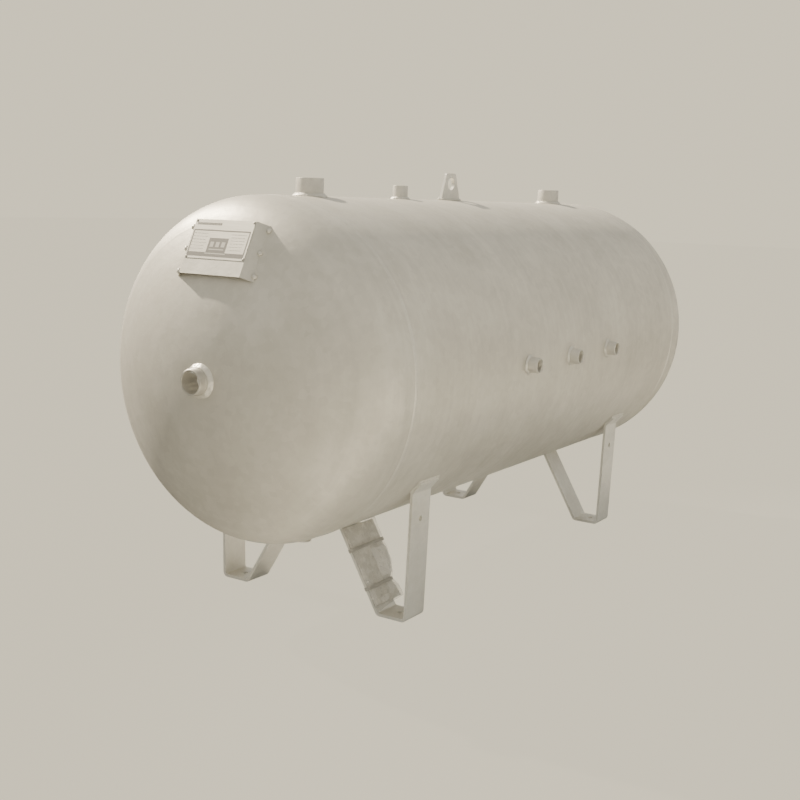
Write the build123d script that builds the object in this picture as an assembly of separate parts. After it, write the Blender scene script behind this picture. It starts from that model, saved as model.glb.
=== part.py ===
from build123d import *
import os
from math import atan2, cos, radians, sin, sqrt

# Horizontal compressed-air receiver on four bent flat-bar legs. Millimetres, +Z up.
# The origin is on the floor below the middle of the shell, +X runs along the tank
# towards its plain end, and the three gauge sockets point to -Y.

# Vessel
tank_diameter = 800.0
shell_length = 1530.0
plate_thickness = 5.0
head_skirt = 38.0
crown_ratio = 0.8
knuckle_ratio = 0.154
floor_clearance = 200.0

# Seam welds
root_gap = 3.0
seam_cap_width = 12.0
seam_cap_height = 1.6
long_seam_angle = -62.0

# Threaded sockets: (outside radius, thread core radius, weld leg)
two_inch = (33.15, 28.33, 8.0)
one_inch = (19.75, 15.15, 6.0)
socket_inside = 8.0
socket_chamfer = 1.2
end_socket_inset = 134.0
end_socket_height = 42.0
gauge_socket_x = -242.0
gauge_socket_height = 34.0
side_socket_x = -236.0
side_socket_pitch = 243.0
side_socket_height = 30.0
side_socket_count = 3
drain_socket_height = 41.0

# Pipe nipples in the middle of both heads
nipple_radius = 30.15
nipple_bore = 24.6
nipple_stand_out = 30.0
nipple_inside = 14.0
nipple_chamfer = 2.0
nipple_weld_leg = 8.0

# Lifting lug
lug_x = 10.0
lug_base = 100.0
lug_top = 48.0
lug_height = 74.0
lug_thickness = 8.0
lug_hole_radius = 17.0
lug_hole_height = 45.0
lug_corner_radius = 8.0
lug_weld_leg = 5.0

# Legs, one bent flat bar each
bar_width = 80.0
bar_thickness = 8.0
bend_radius = 6.0
leg_inset = 205.0
flange_angle = 48.9
flange_length = 35.0
foot_outer_y = 288.0
foot_inner_y = 203.0
brace_angle = 30.6
foot_hole_radius = 7.0
strut_hole_radius = 7.0
strut_hole_height = 253.0
leg_weld_leg = 6.0
weld_land = 0.5

# Nameplate bracket, a sheet with two splayed flanges
bracket_elevation = 26.0
bracket_standoff = 10.5
bracket_width = 171.0
bracket_height = 129.0
bracket_sheet = 2.0
bracket_splay = 44.0
bracket_reach = 46.0
tack_radius = 6.5
tack_spacing = 53.0

# Nameplate and its blind rivets
nameplate_width = 168.0
nameplate_height = 92.0
nameplate_sheet = 1.0
nameplate_margin = 0.8
rivet_inset_x = 3.4
rivet_inset_y = 3.6
rivet_radius = 1.6
rivet_clearance = 0.05
rivet_head_radius = 3.0
rivet_head_height = 1.1
rivet_bulb_radius = 2.3
rivet_bulb_height = 2.5

# Document pouch, tied to the brace of the front right leg
pouch_width = 131.0
pouch_thickness = 20.0
pouch_side_overhang = 3.0
pouch_foot_gap = 12.0
pouch_shell_gap = 6.0
pouch_edge_radius = 8.0
tie_width = 7.0
tie_thickness = 1.4
tie_places = {"cable_tie_upper": 166.0, "cable_tie_lower": 66.0}
tie_head_size = (11.0, 9.0, 5.5)

# Worked out from the sizes above
tank_radius = tank_diameter / 2
axis_height = floor_clearance + tank_radius
seam_x = shell_length / 2
crown_radius = crown_ratio * tank_diameter
knuckle_radius = knuckle_ratio * tank_diameter
knuckle_x = seam_x + head_skirt
knuckle_height = tank_radius - knuckle_radius
crown_x = knuckle_x - sqrt((crown_radius - knuckle_radius) ** 2 - knuckle_height**2)
apex_x = crown_x + crown_radius
leg_x = seam_x - leg_inset
end_socket_x = seam_x - end_socket_inset
foot_y = (foot_outer_y + foot_inner_y) / 2


def head_curve(inset):
    """Half section of the rear dished head, set in by a depth: skirt end, arcs and apex."""
    turn = atan2(knuckle_height, knuckle_x - crown_x)
    knuckle = knuckle_radius - inset
    crown = crown_radius - inset
    middle = (radians(90) + turn) / 2
    join = (crown_x + crown * cos(turn), crown * sin(turn))
    shoulder = (knuckle_x, tank_radius - inset)
    bulge = (knuckle_x + knuckle * cos(middle), knuckle_height + knuckle * sin(middle))
    brow = (crown_x + crown * cos(turn / 2), crown * sin(turn / 2))
    apex = (crown_x + crown, 0)
    return shoulder, ThreePointArc(shoulder, bulge, join) + ThreePointArc(join, brow, apex), apex


def about_axis(sketch):
    """Turn a half section, drawn with x along the tank and y as radius, about its axis."""
    return Pos(0, 0, axis_height) * revolve(sketch, axis=Axis.X)


def make_envelope():
    """The whole vessel as one solid: what every welded-on piece is trimmed to."""
    shoulder, arcs, apex = head_curve(0)
    outline = Polyline(apex, (0, 0), (0, tank_radius), shoulder) + arcs
    half = about_axis(make_face(outline))
    return half + mirror(half, about=Plane.YZ)


def make_tube(outer, inner, low, high, chamfer):
    """A tube on Z from low to high, its upper end chamfered inside and out."""
    outline = Polyline(
        (inner, 0, low),
        (outer, 0, low),
        (outer, 0, high - chamfer),
        (outer - chamfer, 0, high),
        (inner + chamfer, 0, high),
        (inner, 0, high - chamfer),
        close=True,
    )
    return revolve(make_face(outline), axis=Axis.Z)


def make_fillet_ring(radius, leg):
    """A 45 degree fillet weld round a tube on Z, deep enough to be trimmed to a curved wall."""
    outline = Polyline((radius, 0, leg), (radius + 2 * leg, 0, -leg), (radius, 0, -leg), close=True)
    return revolve(make_face(outline), axis=Axis.Z)


def shell_place(x, angle):
    """A place on the shell's outside, angle degrees from the top towards -Y, Z outwards."""
    return Pos(x, 0, axis_height) * Rot(X=angle) * Pos(0, 0, tank_radius)


def head_place(side):
    """The apex of the front (-1) or rear (+1) head, Z outwards."""
    return Pos(side * apex_x, 0, axis_height) * Rot(Y=side * 90)


def list_sockets():
    """Every threaded socket in the shell: its place, thread and height."""
    sockets = {
        "top_socket_front": (shell_place(-end_socket_x, 0), two_inch, end_socket_height),
        "top_socket_gauge": (shell_place(gauge_socket_x, 0), one_inch, gauge_socket_height),
        "top_socket_rear": (shell_place(end_socket_x, 0), two_inch, end_socket_height),
        "drain_socket": (shell_place(-end_socket_x, 180), one_inch, drain_socket_height),
    }
    for number in range(side_socket_count):
        place = shell_place(side_socket_x + number * side_socket_pitch, 90)
        sockets[f"side_socket_{number + 1}"] = (place, one_inch, side_socket_height)
    return sockets


def make_shell(sockets):
    """The rolled shell, with its long seam's gap and a hole for each socket."""
    length = shell_length - root_gap
    shell = Cylinder(tank_radius, length) - Cylinder(tank_radius - plate_thickness, length)
    shell = Pos(0, 0, axis_height) * Rot(Y=90) * shell
    slot = Box(length, root_gap, 4 * plate_thickness)
    shell -= shell_place(0, long_seam_angle) * slot
    for place, thread, height in sockets.values():
        shell -= place * Cylinder(thread[0], 12 * plate_thickness)
    return shell


def make_head(side):
    """A dished head with its straight skirt and the hole for the nipple."""
    shoulder, outer_arcs, apex = head_curve(0)
    inner_shoulder, inner_arcs, inner_apex = head_curve(plate_thickness)
    rim = seam_x + root_gap / 2
    outline = Line((rim, tank_radius), shoulder) + outer_arcs + Line(apex, inner_apex) + inner_arcs
    outline += Polyline(inner_shoulder, (rim, tank_radius - plate_thickness), (rim, tank_radius))
    head = about_axis(make_face(outline))
    if side < 0:
        head = mirror(head, about=Plane.YZ)
    return head - head_place(side) * Cylinder(nipple_radius, 12 * plate_thickness)


def make_seam_weld(side):
    """The girth weld: it fills the root gap and stands proud in a low rounded cap."""
    half = seam_cap_width / 2
    inner = tank_radius - plate_thickness
    cap = ThreePointArc((-half, tank_radius), (0, tank_radius + seam_cap_height), (half, tank_radius))
    sides = Polyline(
        (half, tank_radius),
        (root_gap / 2, tank_radius),
        (root_gap / 2, inner),
        (-root_gap / 2, inner),
        (-root_gap / 2, tank_radius),
        (-half, tank_radius),
    )
    ring = about_axis(make_face(cap + sides))
    return Pos(side * seam_x, 0, 0) * ring


def make_long_seam_weld(envelope):
    """The shell's lengthwise weld, between the two girth welds."""
    length = shell_length - root_gap
    half = seam_cap_width / 2
    arc_radius = (half**2 + seam_cap_height**2) / (2 * seam_cap_height)
    bead = Pos(0, 0, seam_cap_height - arc_radius) * Rot(Y=90) * Cylinder(arc_radius, length)
    bead = shell_place(0, long_seam_angle) * bead
    cap = bead - envelope
    cap -= about_axis(Pos(-seam_x, tank_radius) * Rectangle(seam_cap_width, 4 * seam_cap_height))
    cap -= about_axis(Pos(seam_x, tank_radius) * Rectangle(seam_cap_width, 4 * seam_cap_height))
    root = shell_place(0, long_seam_angle) * Box(length, root_gap, 4 * plate_thickness)
    wall = Cylinder(tank_radius, length) - Cylinder(tank_radius - plate_thickness, length)
    return cap + (root & (Pos(0, 0, axis_height) * Rot(Y=90) * wall))


def make_socket(place, thread, height):
    """One threaded socket, let into the shell and standing out of it."""
    low = -plate_thickness - socket_inside
    return place * make_tube(thread[0], thread[1], low, height, socket_chamfer)


def make_nipple(side):
    """The screwed pipe nipple through a head."""
    low = -plate_thickness - nipple_inside
    tube = make_tube(nipple_radius, nipple_bore, low, nipple_stand_out, nipple_chamfer)
    return head_place(side) * tube


def make_ring_weld(place, radius, leg, wall):
    """The fillet weld between a round fitting and the solid wall that it goes through."""
    return place * make_fillet_ring(radius, leg) - wall


def make_lug(envelope):
    """The lifting lug: a tapered plate with one eye, standing along the tank."""
    half_base = lug_base / 2
    half_top = lug_top / 2
    outline = Polyline(
        (-half_base, -plate_thickness),
        (half_base, -plate_thickness),
        (half_base, 0),
        (half_top, lug_height),
        (-half_top, lug_height),
        (-half_base, 0),
        close=True,
    )
    face = make_face(outline)
    top_corners = face.vertices().sort_by(Axis.Y)[-2:]
    face = fillet(top_corners, lug_corner_radius)
    face -= Pos(0, lug_hole_height) * Circle(lug_hole_radius)
    plate = extrude(Plane.XZ * face, lug_thickness / 2, both=True)
    return shell_place(lug_x, 0) * plate - envelope


def make_lug_welds(envelope, lug):
    """Fillet welds along both faces of the lug."""
    welds = Part()
    for side in (-1, 1):
        bead = Pos(0, side * lug_thickness / 2, 0) * Rot(Y=90) * Cylinder(lug_weld_leg, lug_base)
        welds += shell_place(lug_x, 0) * bead
    return welds - envelope - lug


def leg_points():
    """Middle line of a right-hand leg's bar in Y and Z: flange, strut, foot and brace."""
    middle = tank_radius + bar_thickness / 2 - flange_length**2 / (8 * tank_radius)
    angle = radians(flange_angle)
    touch = Vector(0, -middle * sin(angle), axis_height - middle * cos(angle))
    along = Vector(0, -cos(angle), sin(angle)) * (flange_length / 2)
    outer = Vector(0, bar_thickness / 2 - foot_outer_y, bar_thickness / 2)
    lean = radians(brace_angle)
    rise = Vector(0, sin(lean), cos(lean))
    inner_y = -foot_inner_y - (bar_thickness / 2) * (1 - sin(lean)) / cos(lean)
    inner = Vector(0, inner_y, bar_thickness / 2)
    return touch + along, touch - along, outer, inner, rise


def brace_reach(offset):
    """Length of a line beside the brace, offset up from its middle, to the shell's outside."""
    inner, rise = leg_points()[3:]
    start = inner + brace_normal() * offset - Vector(0, 0, axis_height)
    half = start.dot(rise)
    return -half - sqrt(half**2 - start.dot(start) + tank_radius**2)


def brace_normal():
    """The direction out of the brace's upper face."""
    lean = radians(brace_angle)
    return Vector(0, -cos(lean), sin(lean))


def make_leg(envelope):
    """One right-hand leg at x = 0: a flat bar bent four ways, trimmed to the shell."""
    top, knee, outer, inner, rise = leg_points()
    end = inner + rise * (brace_reach(0) + 3 * bar_thickness)
    path = FilletPolyline(top, knee, outer, inner, end, radius=bend_radius + bar_thickness / 2)
    section = Plane(origin=path @ 0, x_dir=(1, 0, 0), z_dir=path % 0)
    leg = sweep(section * Rectangle(bar_width, bar_thickness), path=path) - envelope
    leg -= Pos(0, -foot_y, 0) * Cylinder(foot_hole_radius, 4 * bar_thickness)
    share = (strut_hole_height - outer.Z) / (knee.Z - outer.Z)
    hole_at = outer + (knee - outer) * share
    hole_plane = Plane(origin=hole_at, x_dir=(1, 0, 0), z_dir=(knee - outer).cross(Vector(1, 0, 0)))
    leg -= hole_plane * Cylinder(strut_hole_radius, 4 * bar_thickness)
    return leg


def make_leg_welds(envelope, leg):
    """Welds of a right-hand leg: round the flange's free edges and across both brace faces."""
    top, knee, outer, inner, rise = leg_points()
    welds = Part()
    for side in (-1, 1):
        face = side * bar_thickness / 2
        corner = inner + brace_normal() * face + rise * brace_reach(face)
        welds += Pos(corner) * Rot(Y=90) * Cylinder(leg_weld_leg, bar_width)
    seat = Plane(origin=(top + knee) * 0.5, x_dir=(1, 0, 0), z_dir=(knee - top).cross(Vector(1, 0, 0)))
    width = bar_width + 2 * leg_weld_leg
    length = flange_length + leg_weld_leg
    slab = Box(width, length, 2 * leg_weld_leg)
    upper = slab.faces().sort_by(Axis.Z)[-1].edges()
    slab = chamfer(upper.sort_by(Axis.Y)[1:], leg_weld_leg - weld_land)
    slab = Pos(0, leg_weld_leg / 2, -bar_thickness / 2) * slab
    return welds + (seat * slab) - envelope - leg


def bracket_plane():
    """The outer face of the nameplate bracket: X to the viewer's right, Y up the plate."""
    tilt = radians(bracket_elevation)
    outward = Vector(-cos(tilt), 0, sin(tilt))
    centre = Vector(-crown_x, 0, axis_height) + outward * (crown_radius + bracket_standoff)
    return Plane(origin=centre, x_dir=(0, -1, 0), z_dir=outward)


def rivet_places():
    """Where the four rivets sit on the bracket's face."""
    top = bracket_height / 2 - nameplate_margin
    high = top - rivet_inset_y
    low = top - nameplate_height + rivet_inset_y
    wide = nameplate_width / 2 - rivet_inset_x
    return [(-wide, low), (wide, low), (-wide, high), (wide, high)]


def make_bracket(envelope):
    """The bracket: a flat face with a splayed flange down each side, trimmed to the head."""
    half = bracket_width / 2
    slope = radians(bracket_splay)
    foot_x = half + bracket_reach * sin(slope)
    foot_z = -bracket_reach * cos(slope)
    shift = bracket_sheet * (1 - sin(slope)) / cos(slope)
    inner_x = half - shift
    lean_x = bracket_sheet * cos(slope)
    lean_z = bracket_sheet * sin(slope)
    outline = Polyline(
        (-foot_x, 0, foot_z),
        (-half, 0, 0),
        (half, 0, 0),
        (foot_x, 0, foot_z),
        (foot_x - lean_x, 0, foot_z - lean_z),
        (inner_x, 0, -bracket_sheet),
        (-inner_x, 0, -bracket_sheet),
        (-foot_x + lean_x, 0, foot_z - lean_z),
        close=True,
    )
    sheet = bracket_plane() * extrude(make_face(outline), bracket_height / 2, both=True)
    for x, y in rivet_places():
        hole = Cylinder(rivet_radius + rivet_clearance, 6 * bracket_sheet)
        sheet -= bracket_plane() * Pos(x, y, 0) * hole
    return sheet - envelope


def make_bracket_tacks(envelope, bracket):
    """Three tack welds at the foot of each flange, on its outside."""
    plane = bracket_plane()
    slope = radians(bracket_splay)
    centre = Vector(-crown_x, 0, axis_height)
    tacks = Part()
    for side in (-1, 1):
        down = plane.x_dir * (side * sin(slope)) - plane.z_dir * cos(slope)
        outward = plane.x_dir * (side * cos(slope)) + plane.z_dir * sin(slope)
        for step in (-1, 0, 1):
            edge = plane.origin + plane.x_dir * (side * bracket_width / 2)
            edge += plane.y_dir * (step * tack_spacing)
            half = (edge - centre).dot(down)
            spare = (edge - centre).dot(edge - centre) - crown_radius**2
            reach = -half - sqrt(half**2 - spare)
            foot = edge + down * reach
            bead = Pos(foot) * Sphere(tack_radius)
            tacks += split(bead, bisect_by=Plane(origin=foot, z_dir=outward), keep=Keep.TOP)
    return tacks - envelope - bracket


def make_nameplate():
    """The thin plate riveted to the upper part of the bracket."""
    middle = bracket_height / 2 - nameplate_margin - nameplate_height / 2
    plate = Pos(0, middle, nameplate_sheet / 2) * Box(nameplate_width, nameplate_height, nameplate_sheet)
    for x, y in rivet_places():
        plate -= Pos(x, y, 0) * Cylinder(rivet_radius + rivet_clearance, 6 * nameplate_sheet)
    return bracket_plane() * plate


def make_rivets():
    """The four blind rivets of the nameplate, as one group."""
    rivets = Part()
    for x, y in rivet_places():
        head = Pos(0, 0, nameplate_sheet + rivet_head_height / 2)
        head *= Cylinder(rivet_head_radius, rivet_head_height)
        grip = nameplate_sheet + bracket_sheet
        shank = Pos(0, 0, nameplate_sheet - grip / 2) * Cylinder(rivet_radius, grip)
        bulb = Pos(0, 0, -bracket_sheet - rivet_bulb_height / 2)
        bulb *= Cylinder(rivet_bulb_radius, rivet_bulb_height)
        rivets += Pos(x, y, 0) * (head + shank + bulb)
    return bracket_plane() * rivets


def brace_plane():
    """Upper face of the front right leg's brace: X across the bar, Y up along it."""
    inner = leg_points()[3]
    origin = inner + brace_normal() * (bar_thickness / 2) + Vector(-leg_x, 0, 0)
    return Plane(origin=origin, x_dir=(1, 0, 0), z_dir=brace_normal())


def make_pouch():
    """The pouch with its folded papers, a plain pillow on the brace's upper face."""
    top = brace_reach(bar_thickness / 2 + pouch_thickness) - pouch_shell_gap
    length = top - pouch_foot_gap
    left = -bar_width / 2 - pouch_side_overhang
    body = fillet(Box(pouch_width, length, pouch_thickness).edges(), pouch_edge_radius)
    body = Pos(left + pouch_width / 2, pouch_foot_gap + length / 2, pouch_thickness / 2) * body
    return brace_plane() * body


def make_tie(height):
    """A cable tie round the brace and the pouch: a closed band, its lock under the brace."""
    face = brace_plane()
    across = Plane(origin=face.origin + face.y_dir * height, x_dir=face.x_dir, z_dir=-face.y_dir)
    half = bar_width / 2
    left = -half - pouch_side_overhang
    right = left + pouch_width
    wrapped = Polyline(
        (left, 0),
        (-half, -bar_thickness),
        (half, -bar_thickness),
        (right, 0),
        (right, pouch_thickness),
        (left, pouch_thickness),
        close=True,
    )
    inside = make_face(wrapped)
    band = extrude(offset(inside, tie_thickness) - inside, tie_width / 2, both=True)
    lock = Pos(0, -bar_thickness - tie_thickness - tie_head_size[2] / 2, 0)
    lock *= Box(tie_head_size[0], tie_head_size[2], tie_head_size[1])
    return across * (band + lock)


def list_legs(envelope):
    """The four legs and their welds, each from the same right-hand leg."""
    leg = make_leg(envelope)
    welds = make_leg_welds(envelope, leg)
    pieces = {}
    for end, x in (("front", -leg_x), ("rear", leg_x)):
        pieces[f"leg_{end}_right"] = Pos(x, 0, 0) * leg
        pieces[f"leg_{end}_right_welds"] = Pos(x, 0, 0) * welds
        pieces[f"leg_{end}_left"] = Pos(x, 0, 0) * mirror(leg, about=Plane.XZ)
        pieces[f"leg_{end}_left_welds"] = Pos(x, 0, 0) * mirror(welds, about=Plane.XZ)
    return pieces


def list_pieces():
    """Every piece of the receiver by name."""
    envelope = make_envelope()
    sockets = list_sockets()
    pieces = {"shell": make_shell(sockets)}
    pieces["shell_long_weld"] = make_long_seam_weld(envelope)
    for end, side in (("front", -1), ("rear", 1)):
        pieces[f"{end}_head"] = make_head(side)
        pieces[f"{end}_seam_weld"] = make_seam_weld(side)
        pieces[f"{end}_nipple"] = make_nipple(side)
        crown = Pos(side * crown_x, 0, axis_height) * Rot(Z=90) * Sphere(crown_radius)
        place = head_place(side)
        pieces[f"{end}_nipple_weld"] = make_ring_weld(place, nipple_radius, nipple_weld_leg, crown)
    for name, (place, thread, height) in sockets.items():
        pieces[name] = make_socket(place, thread, height)
        pieces[f"{name}_weld"] = make_ring_weld(place, thread[0], thread[2], envelope)
    pieces["lifting_lug"] = make_lug(envelope)
    pieces["lifting_lug_welds"] = make_lug_welds(envelope, pieces["lifting_lug"])
    pieces.update(list_legs(envelope))
    pieces["nameplate_bracket"] = make_bracket(envelope)
    pieces["nameplate_bracket_tacks"] = make_bracket_tacks(envelope, pieces["nameplate_bracket"])
    pieces["nameplate"] = make_nameplate()
    pieces["nameplate_rivets"] = make_rivets()
    pieces["document_pouch"] = make_pouch()
    for name, height in tie_places.items():
        pieces[name] = make_tie(height)
    return pieces


os.makedirs("parts", exist_ok=True)
for name, piece in list_pieces().items():
    export_step(piece, f"parts/{name}.step")
    print(name, round(piece.volume / 1000, 2), "cm3")
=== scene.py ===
import math
import random

import bpy
from mathutils import Matrix, Quaternion, Vector


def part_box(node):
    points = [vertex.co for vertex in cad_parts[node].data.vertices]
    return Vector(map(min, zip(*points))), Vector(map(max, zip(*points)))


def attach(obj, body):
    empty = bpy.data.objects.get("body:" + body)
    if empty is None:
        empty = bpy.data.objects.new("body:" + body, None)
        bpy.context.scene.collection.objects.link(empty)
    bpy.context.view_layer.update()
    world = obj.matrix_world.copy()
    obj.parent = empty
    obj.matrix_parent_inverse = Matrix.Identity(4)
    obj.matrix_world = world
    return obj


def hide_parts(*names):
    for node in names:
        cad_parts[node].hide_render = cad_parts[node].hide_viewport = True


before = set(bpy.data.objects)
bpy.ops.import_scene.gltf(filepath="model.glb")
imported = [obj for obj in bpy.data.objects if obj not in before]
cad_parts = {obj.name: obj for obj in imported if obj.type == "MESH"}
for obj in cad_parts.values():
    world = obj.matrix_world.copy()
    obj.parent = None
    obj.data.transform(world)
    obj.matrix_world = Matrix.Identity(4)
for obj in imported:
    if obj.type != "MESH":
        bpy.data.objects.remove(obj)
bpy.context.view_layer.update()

# ------------------------------------------------------------------ camera, floor and light
# The receiver stands on a pale, plain floor under a wide soft sky. A lamp beyond its far side
# lights the top and the front head's shoulder and leaves the near side to the floor's bounce. A
# weak lamp inside the closed vessel lifts the dark of its bores.


def linear(code, alpha=1.0):
    """An sRGB hex colour as linear values."""
    parts = [int(code[i : i + 2], 16) / 255 for i in (1, 3, 5)]
    return [p / 12.92 if p <= 0.04045 else ((p + 0.055) / 1.055) ** 2.4 for p in parts] + [alpha]


def add_node(tree, kind, inputs=None, **settings):
    """One node with its settings, its constant sockets and its links."""
    node = tree.nodes.new(kind)
    for key, value in settings.items():
        setattr(node, key, value)
    for key, value in (inputs or {}).items():
        if isinstance(value, bpy.types.NodeSocket):
            tree.links.new(value, node.inputs[key])
        else:
            node.inputs[key].default_value = value
    return node


def start_material(name):
    """An empty node material."""
    material = bpy.data.materials.new(name)
    material.use_nodes = True
    material.node_tree.nodes.clear()
    return material, material.node_tree


def add_stage_object(data):
    """A camera or lamp in the scene."""
    item = bpy.data.objects.new(data.name, data)
    bpy.context.scene.collection.objects.link(item)
    return item


view_azimuth, view_drop, view_roll = math.radians(32.92), math.radians(9.70), math.radians(1.84)
looking = Vector(
    (
        math.cos(view_azimuth) * math.cos(view_drop),
        math.sin(view_azimuth) * math.cos(view_drop),
        -math.sin(view_drop),
    )
)
camera = add_stage_object(bpy.data.cameras.new("camera"))
camera.data.sensor_width = 36.0
camera.data.lens = 53.055
camera.rotation_mode = "QUATERNION"
camera.rotation_quaternion = looking.to_track_quat("-Z", "Y") @ Quaternion((0, 0, 1), view_roll)
camera.location = (-2.8727, -1.7230, 1.0010)
bpy.context.scene.camera = camera

lamp_from = Vector((0.03, 0.79, 0.61))
lamp = add_stage_object(bpy.data.lights.new("far_side_lamp", "SUN"))
lamp.data.energy = 9.8
lamp.data.angle = math.radians(1.5)
lamp.data.color = linear("#fff1da")[:3]
lamp.rotation_mode = "QUATERNION"
lamp.rotation_quaternion = (-lamp_from).to_track_quat("-Z", "Y")

inner_lamp = add_stage_object(bpy.data.lights.new("fill_inside", "POINT"))
inner_lamp.data.energy = 7.0
inner_lamp.data.shadow_soft_size = 0.10
inner_lamp.location = (-0.80, 0.12, 0.30)
inner_lamp.visible_camera = False

# The camera sees one even backdrop tone, a warm near-white, on the sky and on the floor.
backdrop_tone = (1.045, 0.945, 0.70, 1.0)
world = bpy.data.worlds.new("soft_sky")
bpy.context.scene.world = world
world.use_nodes = True
tree = world.node_tree
tree.nodes.clear()
heading = add_node(tree, "ShaderNodeTexCoord")
height = add_node(tree, "ShaderNodeSeparateXYZ", {"Vector": heading.outputs["Generated"]})
rise = add_node(tree, "ShaderNodeMapRange", {"Value": height.outputs["Z"], "From Min": -0.05, "From Max": 0.9})
sky = add_node(
    tree,
    "ShaderNodeMix",
    {"Factor": rise.outputs["Result"], 6: linear("#dcd7cb"), 7: linear("#d3d0c7")},
    data_type="RGBA",
)
sky_glow = add_node(tree, "ShaderNodeBackground", {"Color": sky.outputs[2], "Strength": 1.15})
sky_seen = add_node(tree, "ShaderNodeBackground", {"Color": backdrop_tone, "Strength": 1.0})
seen = add_node(tree, "ShaderNodeLightPath")
sky_mix = add_node(
    tree,
    "ShaderNodeMixShader",
    {0: seen.outputs["Is Camera Ray"], 1: sky_glow.outputs[0], 2: sky_seen.outputs[0]},
)
add_node(tree, "ShaderNodeOutputWorld", {"Surface": sky_mix.outputs[0]})

bpy.ops.mesh.primitive_plane_add(size=60, location=(0, 0, 0))
floor = bpy.context.object
floor.name = "floor"
# Matt floor paint, pale in a round patch in front of the near side and darker round it, which is painted shade
# on the ground: the pale patch bounces a soft crescent of light on the front head, and the painted shade keeps
# the underside dim.
lit_patch_centre, lit_patch_radius, painted_shade_radius = (-0.4, -2.2, 0.0), 1.98, 2.5
bounce_tone = (1.0, 0.985, 0.91, 1.0)
seen_share, bounce_share = 0.87, 0.08
floor_paint, tree = start_material("pale_floor_paint")
place = add_node(tree, "ShaderNodeTexCoord").outputs["Object"]
from_lit_patch = add_node(tree, "ShaderNodeVectorMath", {0: place, 1: lit_patch_centre}, operation="DISTANCE")
painted_shade_share = add_node(
    tree,
    "ShaderNodeMapRange",
    {"Value": from_lit_patch.outputs["Value"], "From Min": lit_patch_radius, "From Max": painted_shade_radius},
)
# Pale floor paint inside the patch, and painted shade on the ground round it.
floor_painted_shade = add_node(
    tree,
    "ShaderNodeMix",
    {"Factor": painted_shade_share.outputs["Result"], 6: linear("#dcdcd8"), 7: linear("#70706c")},
    data_type="RGBA",
)
floor_matt = add_node(tree, "ShaderNodeBsdfDiffuse", {"Color": floor_painted_shade.outputs[2], "Roughness": 1.0})
seen = add_node(tree, "ShaderNodeLightPath")
floor_tone = add_node(
    tree,
    "ShaderNodeMix",
    {"Factor": seen.outputs["Is Camera Ray"], 6: bounce_tone, 7: backdrop_tone},
    data_type="RGBA",
)
floor_even = add_node(tree, "ShaderNodeEmission", {"Color": floor_tone.outputs[2], "Strength": 1.0})
evenness = add_node(
    tree,
    "ShaderNodeMath",
    {0: seen.outputs["Is Camera Ray"], 1: seen_share, 2: bounce_share},
    operation="MULTIPLY_ADD",
)
floor_mix = add_node(
    tree,
    "ShaderNodeMixShader",
    {0: evenness.outputs[0], 1: floor_matt.outputs[0], 2: floor_even.outputs[0]},
)
add_node(tree, "ShaderNodeOutputMaterial", {"Surface": floor_mix.outputs[0]})
floor.data.materials.append(floor_paint)

# ------------------------------------------------------------------ shell and dished heads
# Rolled and pressed steel plate, hot-dip galvanised as one finished vessel. Zinc drains round
# the shell as it is lifted out of the bath, so faint runs cross crystals of a fingernail's width.


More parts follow.
